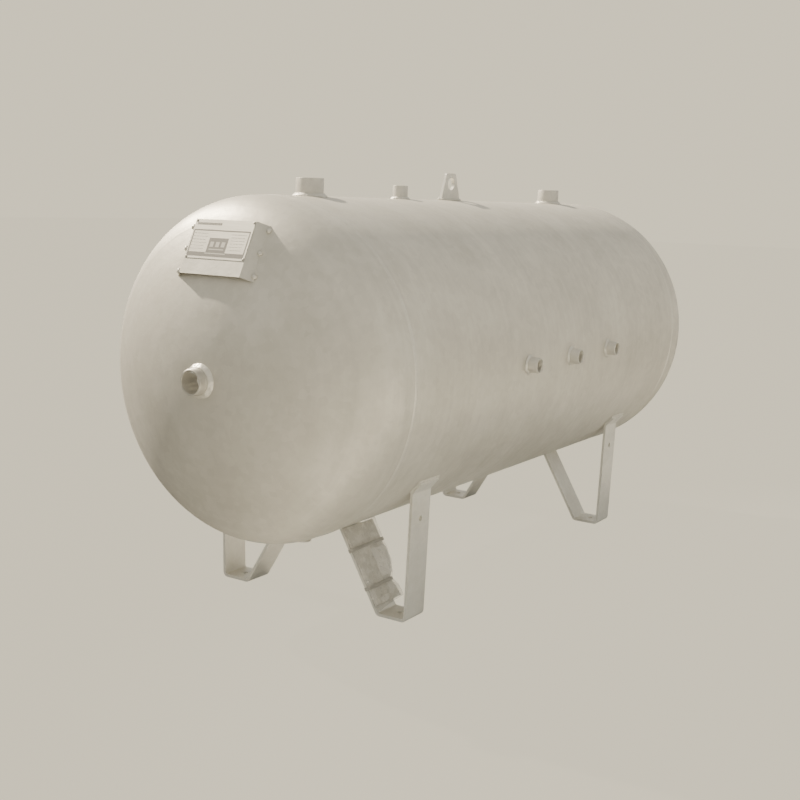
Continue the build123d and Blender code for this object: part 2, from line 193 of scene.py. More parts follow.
def galvanise(
    name,
    pale,
    dull,
    crystal=0.017,
    run_stretch=(55, 2.4, 2.4),
    run_share=0.3,
    rough=(0.43, 0.54),
    metal=0.4,
):
    """Hot-dip zinc: soft grey crystals, clouds and runs; a satin metal with a fine orange-peel skin.

    Crystals are `crystal` metres wide, clouds 150 mm, and runs 18 by 420 mm on the shell. The
    real skin ripples at about 1 mm, which wouldn't show, so it is drawn at 8 mm over a 60 mm swell.
    It is oxidised, so it reflects less than bare metal: that is the low metallic share."""
    crystal_share, peel_rise, swell_rise, run_rise = 0.10, 0.00022, 0.0011, 0.0005
    material, tree = start_material(name)
    place = add_node(tree, "ShaderNodeTexCoord").outputs["Object"]
    wobble = add_node(tree, "ShaderNodeTexNoise", {"Vector": place, "Scale": 38, "Detail": 2})
    bent = add_node(
        tree,
        "ShaderNodeVectorMath",
        {0: wobble.outputs["Color"], 1: (0.016, 0.016, 0.016), 2: place},
        operation="MULTIPLY_ADD",
    )
    crystals = add_node(tree, "ShaderNodeTexVoronoi", {"Vector": bent.outputs[0], "Scale": 1 / crystal})
    crystal_tone = add_node(tree, "ShaderNodeSeparateColor", {"Color": crystals.outputs["Color"]})
    clouds = add_node(
        tree, "ShaderNodeTexNoise", {"Vector": place, "Scale": 6.5, "Detail": 6, "Roughness": 0.62}
    )
    stretched = add_node(tree, "ShaderNodeMapping", {"Vector": place, "Scale": run_stretch})
    runs = add_node(
        tree, "ShaderNodeTexNoise", {"Vector": stretched.outputs[0], "Scale": 1, "Detail": 4, "Roughness": 0.6}
    )
    cloud_share = 1 - crystal_share - run_share
    tone = add_node(tree, "ShaderNodeMath", {0: clouds.outputs["Fac"], 1: cloud_share}, operation="MULTIPLY")
    for pattern, share in ((crystal_tone.outputs[0], crystal_share), (runs.outputs["Fac"], run_share)):
        tone = add_node(
            tree, "ShaderNodeMath", {0: pattern, 1: share, 2: tone.outputs[0]}, operation="MULTIPLY_ADD"
        )
    spread = add_node(
        tree, "ShaderNodeMapRange", {"Value": tone.outputs[0], "From Min": 0.28, "From Max": 0.72}
    )
    colour = add_node(
        tree,
        "ShaderNodeMix",
        {"Factor": spread.outputs["Result"], 6: linear(dull), 7: linear(pale)},
        data_type="RGBA",
    )
    gloss = add_node(
        tree,
        "ShaderNodeMapRange",
        {"Value": spread.outputs["Result"], "To Min": rough[1], "To Max": rough[0]},
    )
    peel = add_node(tree, "ShaderNodeTexNoise", {"Vector": place, "Scale": 130, "Detail": 3})
    swell = add_node(tree, "ShaderNodeTexNoise", {"Vector": place, "Scale": 16, "Detail": 2})
    relief = add_node(tree, "ShaderNodeMath", {0: peel.outputs["Fac"], 1: peel_rise}, operation="MULTIPLY")
    for pattern, rise in ((swell.outputs["Fac"], swell_rise), (runs.outputs["Fac"], run_rise)):
        relief = add_node(
            tree, "ShaderNodeMath", {0: pattern, 1: rise, 2: relief.outputs[0]}, operation="MULTIPLY_ADD"
        )
    bump = add_node(
        tree, "ShaderNodeBump", {"Height": relief.outputs[0], "Strength": 1.0, "Distance": 1.0}
    )
    zinc = add_node(
        tree,
        "ShaderNodeBsdfPrincipled",
        {
            "Base Color": colour.outputs[2],
            "Roughness": gloss.outputs["Result"],
            "Metallic": metal,
            "Normal": bump.outputs[0],
        },
    )
    add_node(tree, "ShaderNodeOutputMaterial", {"Surface": zinc.outputs[0]})
    return material


# Zinc on rolled plate looks calm and cloudy: a warm grey sheen, with runs round the shell.
shell_zinc = galvanise("hot_dip_zinc_on_rolled_plate", "#dcd8cc", "#c2beb2")
for node in ("shell", "front_head", "rear_head"):
    for paint_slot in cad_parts[node].material_slots:
        paint_slot.material = shell_zinc


# ------------------------------------------------------------------ girth welds
# Each head is butt-welded to the shell all round. The cap is laid in short overlapping steps,
# so it has fine ripples under the zinc.


def pick(piece):
    """Selects one piece alone, in object mode."""
    bpy.ops.object.select_all(action="DESELECT")
    piece.select_set(True)
    bpy.context.view_layer.objects.active = piece


def put(piece, place):
    """Moves a selected piece to its place and bakes that into its mesh."""
    piece.matrix_world = place
    bpy.ops.object.transform_apply(location=True, rotation=True, scale=True)


def turn_piece(name, profile, sides, place, closed=True):
    """Rings of (height, radius) extruded one from the next along Z and put in place.

    A closed profile returns to its first ring, as a tube does; an open one is capped."""
    height, radius = profile[0]
    bpy.ops.object.select_all(action="DESELECT")
    bpy.ops.mesh.primitive_circle_add(
        vertices=sides, radius=radius, location=(0, 0, 0), fill_type="NOTHING" if closed else "NGON"
    )
    piece = bpy.context.object
    piece.name = name
    bpy.ops.object.mode_set(mode="EDIT")
    bpy.ops.mesh.select_all(action="SELECT")
    bpy.ops.transform.translate(value=(0, 0, height))
    for next_height, next_radius in profile[1:] + (profile[:1] if closed else []):
        step = {"value": (0, 0, next_height - height)}
        if closed:
            bpy.ops.mesh.extrude_edges_move(TRANSFORM_OT_translate=step)
        else:
            bpy.ops.mesh.extrude_region_move(TRANSFORM_OT_translate=step)
        grow = next_radius / radius
        bpy.ops.transform.resize(value=(grow, grow, 1), center_override=(0, 0, next_height))
        height, radius = next_height, next_radius
    bpy.ops.mesh.select_all(action="SELECT")
    bpy.ops.mesh.remove_doubles(threshold=1e-6)
    bpy.ops.mesh.normals_make_consistent(inside=False)
    bpy.ops.object.mode_set(mode="OBJECT")
    put(piece, place)
    bpy.ops.object.shade_smooth_by_angle(angle=math.radians(35))
    return piece


def settle(piece, material, slot_name, *nodes):
    """Paints a finished piece, fixes it to the vessel and hides the CAD nodes that it stands for."""
    piece.data.materials.clear()
    piece.data.materials.append(material)
    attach(piece, "root")
    if nodes:
        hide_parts(*nodes)


tank_radius, axis_height, plate = 0.400, 0.600, 0.005
# Zinc runs thick and bright over weld metal, so a bead glints a little more than the plate.
weld_zinc = galvanise(
    "hot_dip_zinc_on_weld_bead",
    "#e2dfd4",
    "#c9c5ba",
    crystal=0.006,
    run_stretch=(40, 40, 40),
    rough=(0.36, 0.5),
)
cap_half, cap_rise, toe_sink, root_half = 0.006, 0.0015, 0.0002, 0.0014
ripple_count, points_per_ripple, ripple_sink, ripple_lag = 420, 3, 0.0005, 1.6
sides = ripple_count * points_per_ripple
cap = [(-0.78, 0.45), (-0.45, 0.85), (0, 1.0), (0.45, 0.85), (0.78, 0.45)]
along_x = Matrix.Translation((0, 0, axis_height)) @ Matrix.Rotation(math.radians(90), 4, "Y")
for end in ("front", "rear"):
    low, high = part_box(f"{end}_seam_weld")
    seam_x = (low.x + high.x) / 2
    bead_profile = [(seam_x - cap_half, tank_radius - toe_sink)]
    bead_profile += [(seam_x + a * cap_half, tank_radius + b * cap_rise) for a, b in cap]
    bead_profile += [(seam_x + cap_half, tank_radius - toe_sink)]
    bead_profile += [(seam_x + root_half, tank_radius - plate), (seam_x - root_half, tank_radius - plate)]
    bead = turn_piece(f"{end}_girth_bead", bead_profile, sides, along_x)
    bpy.ops.object.mode_set(mode="EDIT")
    bpy.ops.mesh.select_mode(type="VERT")
    bpy.ops.mesh.select_all(action="DESELECT")
    bpy.ops.object.mode_set(mode="OBJECT")
    for vertex in bead.data.vertices:
        across, above = vertex.co.y, vertex.co.z - axis_height
        turn = math.atan2(across, above) / math.tau * sides
        lag = abs(vertex.co.x - seam_x) / cap_half * ripple_lag
        on_cap = math.hypot(across, above) > tank_radius + cap_rise / 5
        vertex.select = on_cap and round(turn - lag) % points_per_ripple == 0
    bpy.ops.object.mode_set(mode="EDIT")
    sink = 1 - ripple_sink / tank_radius
    bpy.ops.transform.resize(value=(1, sink, sink), center_override=(0, 0, axis_height))
    bpy.ops.object.mode_set(mode="OBJECT")
    settle(bead, weld_zinc, "galvanised_weld", f"{end}_seam_weld")

# ------------------------------------------------------------------ long weld of the shell
# The rolled plate is closed by one straight weld on the far side of the shell, between the two
# girth welds. One ripple is modelled and repeated along it.
low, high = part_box("shell")
long_reach = (high.x - low.x) / 2 - cap_half
ripple_pitch, long_rise, ripple_dip = 0.006, 0.0016, 0.8
weld_turn = math.radians(-62)
bpy.ops.object.select_all(action="DESELECT")
bpy.ops.mesh.primitive_grid_add(x_subdivisions=3, y_subdivisions=8, size=1, location=(0, 0, 0))
long_bead = bpy.context.object
long_bead.name = "shell_long_bead"
bpy.ops.object.mode_set(mode="EDIT")
bpy.ops.mesh.select_all(action="SELECT")
bpy.ops.transform.resize(value=(ripple_pitch, 2 * cap_half, 1), center_override=(0, 0, 0))
bpy.ops.object.mode_set(mode="OBJECT")
for vertex in long_bead.data.vertices:
    across = abs(vertex.co.y) / cap_half
    crest = ripple_dip if abs(vertex.co.x) < ripple_pitch * 0.45 else 1.0
    vertex.co.z = long_rise * (1 - across**2) * crest
    vertex.co.x += long_rise * (1 - across**2)
repeat = long_bead.modifiers.new("ripples", "ARRAY")
repeat.count = round(2 * long_reach / ripple_pitch)
repeat.relative_offset_displace = (0, 0, 0)
repeat.use_relative_offset = False
repeat.use_constant_offset = True
repeat.constant_offset_displace = (ripple_pitch, 0, 0)
repeat.use_merge_vertices = True
repeat.merge_threshold = 1e-5
body = long_bead.modifiers.new("root", "SOLIDIFY")
body.thickness = 0.0012
body.offset = -1
pick(long_bead)
bpy.ops.object.modifier_apply(modifier="ripples")
bpy.ops.object.modifier_apply(modifier="root")
put(
    long_bead,
    Matrix.Translation((0, 0, axis_height))
    @ Matrix.Rotation(weld_turn, 4, "X")
    @ Matrix.Translation((-long_reach + (ripple_pitch - long_rise) / 2, 0, tank_radius - 0.0001)),
)
bpy.ops.object.shade_smooth_by_angle(angle=math.radians(60))
settle(long_bead, weld_zinc, "galvanised_weld", "shell_long_weld")

# ------------------------------------------------------------------ threaded sockets
# Forged steel half-couplings with a parallel pipe thread of 11 turns to the inch, welded through
# the shell: two large and one small on top, three small on the side and one drain underneath.
thread_pitch, mouth_chamfer = 0.0254 / 11, 0.0012
# Small forgings cool fast, so their zinc has finer crystals and is a little brighter.
socket_zinc = galvanise(
    "hot_dip_zinc_on_forged_socket",
    "#e0dcd1",
    "#c6c2b7",
    crystal=0.008,
    run_stretch=(25, 25, 25),
    rough=(0.38, 0.5),
)


def face_out(mouth, outward):
    """The place of a turned piece whose mouth looks outward."""
    return Matrix.Translation(mouth) @ outward.to_track_quat("Z", "Y").to_matrix().to_4x4()


def make_socket(node, outward, outside, thread_core, thread_root):
    """A tube with a chamfered mouth and the crests and roots of its thread inside."""
    low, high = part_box(node)
    length = abs((high - low).dot(outward))
    mouth = (low + high) / 2 + outward * length / 2
    profile = [(-mouth_chamfer, outside), (-length, outside), (-length, thread_core)]
    height = -length + thread_pitch / 2
    while height < -0.003:
        profile += [(height, thread_root), (height + thread_pitch / 2, thread_core)]
        height += thread_pitch
    profile += [(0.0, thread_root + 0.0006), (0.0, outside - mouth_chamfer), (-0.0004, outside - 0.0004)]
    socket = turn_piece(f"{node}_turned", profile, 72, face_out(mouth, outward))
    settle(socket, socket_zinc, "galvanised_steel", node)


up, down, near_side = Vector((0, 0, 1)), Vector((0, 0, -1)), Vector((0, -1, 0))
two_inch, one_inch = (0.03315, 0.02833, 0.0298), (0.01975, 0.01515, 0.0166)
for node, outward, sizes in (
    ("top_socket_front", up, two_inch),
    ("top_socket_gauge", up, one_inch),
    ("top_socket_rear", up, two_inch),
    ("drain_socket", down, one_inch),
    ("side_socket_1", near_side, one_inch),
    ("side_socket_2", near_side, one_inch),
    ("side_socket_3", near_side, one_inch),
):
    make_socket(node, outward, *sizes)

# ------------------------------------------------------------------ pipe nipples
# A short length of two-inch pipe stands out of the middle of each head, with a taper thread cut
# on its end. Its crests grow towards the head, where the taper runs out.
# A threaded pipe end keeps a dull, slightly darker zinc.
pipe_zinc = galvanise(
    "dull_zinc_on_threaded_pipe",
    "#c4c0b5",
    "#a6a297",
    crystal=0.008,
    run_stretch=(25, 25, 25),
    rough=(0.42, 0.55),
)
pipe, bore, thread_end, thread_depth, taper = 0.03015, 0.0246, -0.0185, 0.0013, 0.00005
for end, side in (("front", -1), ("rear", 1)):
    low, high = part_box(f"{end}_nipple")
    tip = Vector((low.x if side < 0 else high.x, 0, axis_height))
    reach = high.x - low.x
    profile = [(-0.0015, 0.0282)]
    height, crest = -0.0030, 0.0296
    while height > thread_end:
        profile += [(height, crest), (height - thread_pitch / 2, crest - thread_depth)]
        height -= thread_pitch
        crest += taper
    profile += [(-0.0205, pipe), (-reach, pipe), (-reach, bore)]
    profile += [(-0.0012, bore), (0.0, bore + 0.0014), (0.0, 0.0276)]
    nipple = turn_piece(f"{end}_nipple_turned", profile, 96, face_out(tip, Vector((side, 0, 0))))
    settle(nipple, pipe_zinc, "galvanised_steel", f"{end}_nipple")

# ------------------------------------------------------------------ fillet and tack welds
# Every fitting, lug, leg and bracket is held by a fillet weld laid by hand. Its surface is lumpy
# and soft under the zinc, which gathers along its toes.


def copy_node(node, name):
    """A merged copy of a CAD node's mesh as a new piece."""
    piece = bpy.data.objects.new(name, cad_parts[node].data.copy())
    bpy.context.scene.collection.objects.link(piece)
    pick(piece)
    bpy.ops.mesh.customdata_custom_splitnormals_clear()
    bpy.ops.object.mode_set(mode="EDIT")
    bpy.ops.mesh.select_all(action="SELECT")
    bpy.ops.mesh.remove_doubles(threshold=1e-5)
    bpy.ops.object.mode_set(mode="OBJECT")
    return piece


bead_lumps = bpy.data.textures.new("bead_lumps", "CLOUDS")
bead_lumps.noise_scale = 0.008
bead_lumps.noise_depth = 1


def lay_bead(node, grain):
    """A weld bead: the CAD fillet rounded over and made uneven."""
    bead = copy_node(node, f"{node}_bead")
    skin = bead.modifiers.new("skin", "REMESH")
    skin.mode = "VOXEL"
    skin.voxel_size = grain
    round_over = bead.modifiers.new("round_over", "SMOOTH")
    round_over.factor = 0.5
    round_over.iterations = 4
    uneven = bead.modifiers.new("uneven", "DISPLACE")
    uneven.texture = bead_lumps
    uneven.strength = 0.0016
    uneven.mid_level = 0.35
    for step in ("skin", "round_over", "uneven"):
        bpy.ops.object.modifier_apply(modifier=step)
    bpy.ops.object.shade_smooth()
    settle(bead, weld_zinc, "galvanised_weld", node)


leg_grain, ring_grain, fine_grain = 0.0014, 0.0011, 0.0008
butt_welds = ("front_seam_weld", "rear_seam_weld", "shell_long_weld")
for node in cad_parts:
    if node.endswith(("_weld", "_welds", "_tacks")) and node not in butt_welds:
        lay_bead(node, leg_grain if node.startswith("leg") else fine_grain if "nipple" in node else ring_grain)

# ------------------------------------------------------------------ lifting lug and legs
# The lug is a flame-cut plate with one eye. Each leg is one flat bar of 80 by 8 millimetres with
# a hole in its foot and one in its strut, bent cold. Zinc rounds their cut edges.
# Clean rolled bar takes a thin, smooth and even coat. Its zinc is painted the palest on the vessel, which is
# painted light: it lifts the legs, which stand in the shade under the vessel.
bar_zinc = galvanise(
    "hot_dip_zinc_on_flat_bar",
    "#efede4",
    "#d6d3c9",
    crystal=0.011,
    run_stretch=(9, 9, 3),
    rough=(0.36, 0.48),
    metal=0.35,
)


def break_edges(node, name, width, material, slot_name):
    """A copy of a CAD piece with its sharp edges rounded over."""
    piece = copy_node(node, name)
    bpy.ops.object.mode_set(mode="EDIT")
    bpy.ops.mesh.select_all(action="SELECT")
    bpy.ops.mesh.dissolve_limited(angle_limit=math.radians(1))
    bpy.ops.object.mode_set(mode="OBJECT")
    edge = piece.modifiers.new("edge", "BEVEL")
    edge.width = width
    edge.segments = 2
    edge.limit_method = "ANGLE"
    edge.angle_limit = math.radians(40)
    bpy.ops.object.modifier_apply(modifier="edge")
    bpy.ops.object.shade_smooth_by_angle(angle=math.radians(30))
    even = piece.modifiers.new("even", "WEIGHTED_NORMAL")
    even.keep_sharp = True
    bpy.ops.object.modifier_apply(modifier="even")
    settle(piece, material, slot_name, node)


break_edges("lifting_lug", "lifting_lug_edged", 0.0010, bar_zinc, "galvanised_steel")
for node in ("leg_front_right", "leg_front_left", "leg_rear_right", "leg_rear_left"):
    break_edges(node, f"{node}_edged", 0.0009, bar_zinc, "galvanised_steel")

# ------------------------------------------------------------------ nameplate bracket
# Two-millimetre sheet with a splayed flange down each side, tacked to the head and galvanised
# with it. It holds the plate off the hot vessel.
# Thin sheet takes a flat grey coat with hardly any runs.
sheet_zinc = galvanise(
    "hot_dip_zinc_on_folded_sheet",
    "#d4d1c6",
    "#bfbcb1",
    crystal=0.009,
    run_stretch=(8, 8, 8),
    run_share=0.2,
)
break_edges("nameplate_bracket", "nameplate_bracket_edged", 0.0004, sheet_zinc, "galvanised_steel")

# ------------------------------------------------------------------ nameplate
# A thin anodised aluminium plate, brushed across its width and printed in grey: a frame, a band,
# rows of plain bars in place of words and a plain block in place of a mark.
low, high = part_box("nameplate")
plate_centre = (low + high) / 2
plate_wide, plate_tall, plate_thick = 0.168, 0.092, 0.001
plate_tilt = math.radians(26)
facing = Vector((-math.cos(plate_tilt), 0, math.sin(plate_tilt)))
to_right = Vector((0, -1, 0))
plate_up = facing.cross(to_right)
plate_turn = Matrix((to_right, plate_up, facing)).transposed().to_4x4()
plate_place = Matrix.Translation(plate_centre) @ plate_turn

# Brushed and anodised aluminium: a pale satin with streaks. The real brush lines are about a
# tenth of a millimetre wide; they are drawn 1.4 mm wide and 70 mm long, or they wouldn't show.
anodised, tree = start_material("brushed_anodised_aluminium")
place = add_node(tree, "ShaderNodeTexCoord").outputs["Object"]
brushed_place = add_node(tree, "ShaderNodeMapping", {"Vector": place, "Scale": (700, 14, 700)})
brushing = add_node(
    tree, "ShaderNodeTexNoise", {"Vector": brushed_place.outputs[0], "Scale": 1, "Detail": 3}
)
plate_tone = add_node(
    tree,
    "ShaderNodeMix",
    {"Factor": brushing.outputs["Fac"], 6: linear("#c2bfb5"), 7: linear("#d4d1c7")},
    data_type="RGBA",
)
plate_gloss = add_node(
    tree, "ShaderNodeMapRange", {"Value": brushing.outputs["Fac"], "To Min": 0.34, "To Max": 0.5}
)
brushed_relief = add_node(
    tree, "ShaderNodeBump", {"Height": brushing.outputs["Fac"], "Strength": 0.25, "Distance": 0.0002}
)
aluminium = add_node(
    tree,
    "ShaderNodeBsdfPrincipled",
    {
        "Base Color": plate_tone.outputs[2],
        "Roughness": plate_gloss.outputs["Result"],
        "Metallic": 0.75,
        "Normal": brushed_relief.outputs[0],
    },
)
add_node(tree, "ShaderNodeOutputMaterial", {"Surface": aluminium.outputs[0]})


def print_ink(name, tone, worn_tone):
    """Screen-printed ink: an even matt skin, worn paler in patches of about 6 mm."""
    material, tree = start_material(name)
    place = add_node(tree, "ShaderNodeTexCoord").outputs["Object"]
    wear = add_node(tree, "ShaderNodeTexNoise", {"Vector": place, "Scale": 160, "Detail": 4})
    colour = add_node(
        tree,
        "ShaderNodeMix",
        {"Factor": wear.outputs["Fac"], 6: linear(tone), 7: linear(worn_tone)},
        data_type="RGBA",
    )
    skin = add_node(
        tree, "ShaderNodeBump", {"Height": wear.outputs["Fac"], "Strength": 0.2, "Distance": 0.0002}
    )
    ink = add_node(
        tree,
        "ShaderNodeBsdfPrincipled",
        {"Base Color": colour.outputs[2], "Roughness": 0.55, "Normal": skin.outputs[0]},
    )
    add_node(tree, "ShaderNodeOutputMaterial", {"Surface": ink.outputs[0]})
    return material


break_edges("nameplate", "nameplate_sheet", 0.0002, anodised, "nameplate_aluminium")


def join_parts(parts):
    """Joins pieces into the first of them."""
    bpy.ops.object.select_all(action="DESELECT")
    for part in parts:
        part.select_set(True)
    bpy.context.view_layer.objects.active = parts[0]
    bpy.ops.object.join()
    return parts[0]


def print_bars(name, bars, material, lift):
    """Bars of (left, bottom, width, height), in millimetres from the plate's middle, as raised print."""
    parts = []
    for left, bottom, wide, tall in bars:
        bpy.ops.object.select_all(action="DESELECT")
        bpy.ops.mesh.primitive_cube_add(size=1)
        bar = bpy.context.object
        bar.scale = (wide / 1000, tall / 1000, lift)
        middle = plate_thick / 2 + lift / 2 - 0.00001
        bar.location = ((left + wide / 2) / 1000, (bottom + tall / 2) / 1000, middle)
        bpy.ops.object.transform_apply(location=True, rotation=True, scale=True)
        parts.append(bar)
    piece = join_parts(parts)
    piece.name = name
    put(piece, plate_place)
    settle(piece, material, "nameplate_aluminium")


# A line frame with a wide band along its foot and a block on the band, a hair apart from each
# other so that they stay separate prints; above them a row of short bars and one square.
frame_left, frame_right, frame_low, frame_high, frame_line = -81.5, 79.5, -41.0, 22.0, 3.0
band, gap = 10.0, 0.05
inner_low, inner_tall = frame_low + band + gap, frame_high - frame_low - frame_line - band - 2 * gap
dark_bars = [
    (frame_left, frame_high - frame_line, frame_right - frame_left, frame_line),
    (frame_left, inner_low, frame_line, inner_tall),
    (frame_right - frame_line, inner_low, frame_line, inner_tall),
    (frame_left, frame_low, frame_right - frame_left, band),
    (-29.0, inner_low, 54.0, 34.0),
]
word_rng = random.Random(7)
cursor = -78.0
while cursor < -8:
    wide = word_rng.uniform(2.0, 5.0)
    dark_bars.append((cursor, 32.8, wide, 5.6))
    cursor += wide + 0.9
dark_bars.append((-80.0, 40.6, 2.6, 2.6))
print_bars("nameplate_dark_print", dark_bars, print_ink("grey_plate_ink", "#6f6c65", "#85827a"), 0.00012)
pale_bars = [(left, -18.0, 10.0, 12.0) for left in (-23.0, -7.0, 9.0)]
pale_bars += [(-23.0, -25.0, 42.0, 2.4), (-31.0, -34.6, 58.0, 2.4)]
print_bars("nameplate_pale_print", pale_bars, print_ink("pale_plate_ink", "#cbc8be", "#bcb9ae"), 0.00020)
faint_bars = []
for row in range(6):
    for left, right in ((-77.0, -35.0), (31.0, 75.0)):
        cursor = left
        while cursor < right - 6:
            wide = min(word_rng.uniform(3.0, 9.0), right - cursor)
            faint_bars.append((cursor, 12.0 - row * 7.2, wide, 1.5))
            cursor += wide + word_rng.uniform(1.2, 3.0)
print_bars("nameplate_small_print", faint_bars, print_ink("faint_plate_ink", "#aeaba1", "#bdbab0"), 0.00009)

# ------------------------------------------------------------------ blind rivets
# Four aluminium blind rivets hold the plate. The pulled mandrel leaves a small pit in each head
# and a bulb behind the bracket's sheet.
# Plain weathered aluminium: a darker, speckled grey. Its mottle is made as the zinc's is.
rivet_metal = galvanise(
    "plain_rivet_aluminium", "#a9a69c", "#8f8c83", crystal=0.002, run_stretch=(60, 60, 60), rough=(0.35, 0.5)
)
rivet_bulb = [(-0.0050, 0.0008), (-0.0046, 0.0019), (-0.0026, 0.0023)]
rivet_shank = [(-0.0025, 0.0016), (0.0005, 0.0016)]
rivet_dome = [(0.0005, 0.0030), (0.0008, 0.0029), (0.0013, 0.0021), (0.00155, 0.0012)]
rivet_pit = [(0.00155, 0.0009), (0.0009, 0.0008)]
rivet_profile = rivet_bulb + rivet_shank + rivet_dome + rivet_pit
rivet_heads = []
for sign_x in (-1, 1):
    for sign_y in (-1, 1):
        at = Vector((sign_x * (plate_wide / 2 - 0.0034), sign_y * (plate_tall / 2 - 0.0036), 0))
        rivet_place = plate_place @ Matrix.Translation(at)
        rivet_heads.append(turn_piece("rivet", rivet_profile, 24, rivet_place, closed=False))
rivets = join_parts(rivet_heads)
rivets.name = "nameplate_rivets_pulled"
settle(rivets, rivet_metal, "rivet_aluminium", "nameplate_rivets")

# ------------------------------------------------------------------ document pouch
# A clear film bag with a folded booklet and a label in it, strapped to the front right leg's
# brace. The two ties pinch it; between them it swells, and its foot hangs loose as a crumpled flap.
low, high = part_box("leg_front_right")
brace_lean, bar_thick, foot_inner = math.radians(30.6), 0.008, -0.203
brace_out = Vector((0, -math.cos(brace_lean), math.sin(brace_lean)))
brace_up = Vector((0, math.sin(brace_lean), math.cos(brace_lean)))
half_bar = bar_thick / 2
inner_y = foot_inner - half_bar * (1 - math.sin(brace_lean)) / math.cos(brace_lean)
brace_foot = Vector(((low.x + high.x) / 2, inner_y, half_bar)) + brace_out * half_bar
brace_turn = Matrix((Vector((1, 0, 0)), brace_up, brace_out)).transposed().to_4x4()
brace_place = Matrix.Translation(brace_foot) @ brace_turn
# From here on a place on the pouch is (across the bar, up the brace, out from the bar).
pouch_deep = 0.020
pouch_top = (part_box("document_pouch")[1].z - brace_foot.z - pouch_deep * brace_out.z) / brace_up.z + 0.003
lower_tie, upper_tie = 0.066, 0.166
pouch_left = -0.0435
foot_flap = [(0.000, 0.058), (0.018, 0.071), (0.045, 0.066)]
pinch_and_swell = [(lower_tie, 0.056), (0.085, 0.074), (0.120, 0.086), (upper_tie, 0.086), (0.30, 0.085)]
right_edge = foot_flap + pinch_and_swell
bag_low, bag_high = 0.0012, 0.0115


def edge_at(table, place):
    """The value between two listed places."""
    for (a, left), (b, right) in zip(table, table[1:]):
        if place <= b:
            return left + (right - left) * (place - a) / (b - a)
    return table[-1][1]


bpy.ops.object.select_all(action="DESELECT")
bpy.ops.mesh.primitive_grid_add(x_subdivisions=34, y_subdivisions=56, size=1, location=(0, 0, 0))
bag = bpy.context.object
bag.name = "document_pouch_film"
foot_left, foot_slope = 0.004, 0.013
for vertex in bag.data.vertices:
    across, along = vertex.co.x + 0.5, vertex.co.y + 0.5
    foot = foot_left + foot_slope * across
    up_brace = foot + (pouch_top - foot) * along
    vertex.co = (pouch_left + (edge_at(right_edge, up_brace) - pouch_left) * across, up_brace, bag_low)
bpy.ops.object.mode_set(mode="EDIT")
bpy.ops.mesh.select_all(action="SELECT")
bpy.ops.mesh.extrude_region_move(TRANSFORM_OT_translate={"value": (0, 0, bag_high - bag_low)})
bpy.ops.mesh.select_all(action="SELECT")
bpy.ops.mesh.normals_make_consistent(inside=False)
bpy.ops.object.mode_set(mode="OBJECT")
bag_rng, unevenness = random.Random(11), 0.0006
for vertex in bag.data.vertices:
    if vertex.co.z > bag_high - 1e-4:
        vertex.co.z += bag_rng.uniform(-unevenness, unevenness)
# The ties hold the bag fast, and the bar nearly holds the wall that lies on it.
held = bag.vertex_groups.new(name="held")
flat_shape = [vertex.co.copy() for vertex in bag.data.vertices]
tie_grip, bar_grip = 0.0045, 0.038
for vertex in bag.data.vertices:
    on_bar = vertex.co.z < bag_low + 1e-4 and abs(vertex.co.x) < bar_grip
    if min(abs(vertex.co.y - lower_tie), abs(vertex.co.y - upper_tie)) < tie_grip:
        held.add([vertex.index], 1.0, "REPLACE")
    elif on_bar:
        held.add([vertex.index], 0.9, "REPLACE")
last_frame, most_move = 18, 0.007
air = bag.modifiers.new("air", "CLOTH")
air.settings.quality = 6
air.settings.mass = 0.1
air.settings.tension_stiffness = 30
air.settings.compression_stiffness = 30
air.settings.shear_stiffness = 8
air.settings.bending_stiffness = 0.08
air.settings.use_pressure = True
air.settings.uniform_pressure_force = 3.0
air.settings.shrink_min = -0.05
air.settings.vertex_group_mass = "held"
air.settings.effector_weights.gravity = 0
air.collision_settings.use_collision = False
for moment in range(1, last_frame + 1):
    bpy.context.scene.frame_set(moment)
pick(bag)
bpy.ops.object.modifier_apply(modifier="air")
bpy.context.scene.frame_set(1)
for vertex, start in zip(bag.data.vertices, flat_shape):
    move = vertex.co - start
    if move.length > most_move:
        vertex.co = start + move * (most_move / move.length)
crumple = bpy.data.textures.new("film_crumple", "CLOUDS")
crumple.noise_scale = 0.016
crumple.noise_depth = 2
crease = bag.modifiers.new("crease", "DISPLACE")
crease.texture = crumple
crease.strength = 0.0045
crease.mid_level = 0.5
finer = bag.modifiers.new("finer", "SUBSURF")
finer.levels = finer.render_levels = 1
pick(bag)
bpy.ops.object.modifier_apply(modifier="crease")
bpy.ops.object.modifier_apply(modifier="finer")
bar_half, clear_of_bar, most_out = 0.0405, 0.0004, 0.0195
for vertex in bag.data.vertices:
    if abs(vertex.co.x) < bar_half:
        vertex.co.z = max(vertex.co.z, clear_of_bar)
    vertex.co.z = min(vertex.co.z, most_out)
put(bag, brace_place)
bpy.ops.object.shade_smooth()

# Clear polyethylene, weathered: a thin hazy skin with sharp, crinkled glints 10 mm across and
# cloudier patches of 30 mm.
film, tree = start_material("clear_polyethylene_film")
place = add_node(tree, "ShaderNodeTexCoord").outputs["Object"]
wrinkle = add_node(
    tree, "ShaderNodeTexNoise", {"Vector": place, "Scale": 90, "Detail": 5, "Distortion": 1.2}
)
haze = add_node(tree, "ShaderNodeTexNoise", {"Vector": place, "Scale": 34, "Detail": 3})
film_tone = add_node(
    tree,
    "ShaderNodeMix",
    {"Factor": haze.outputs["Fac"], 6: linear("#d6d3c9"), 7: linear("#f2f0e8")},
    data_type="RGBA",
)
film_cover = add_node(
    tree,
    "ShaderNodeMapRange",
    {"Value": haze.outputs["Fac"], "From Min": 0.3, "From Max": 0.7, "To Min": 0.08, "To Max": 0.34},
)
film_relief = add_node(
    tree, "ShaderNodeBump", {"Height": wrinkle.outputs["Fac"], "Strength": 0.7, "Distance": 0.0035}
)
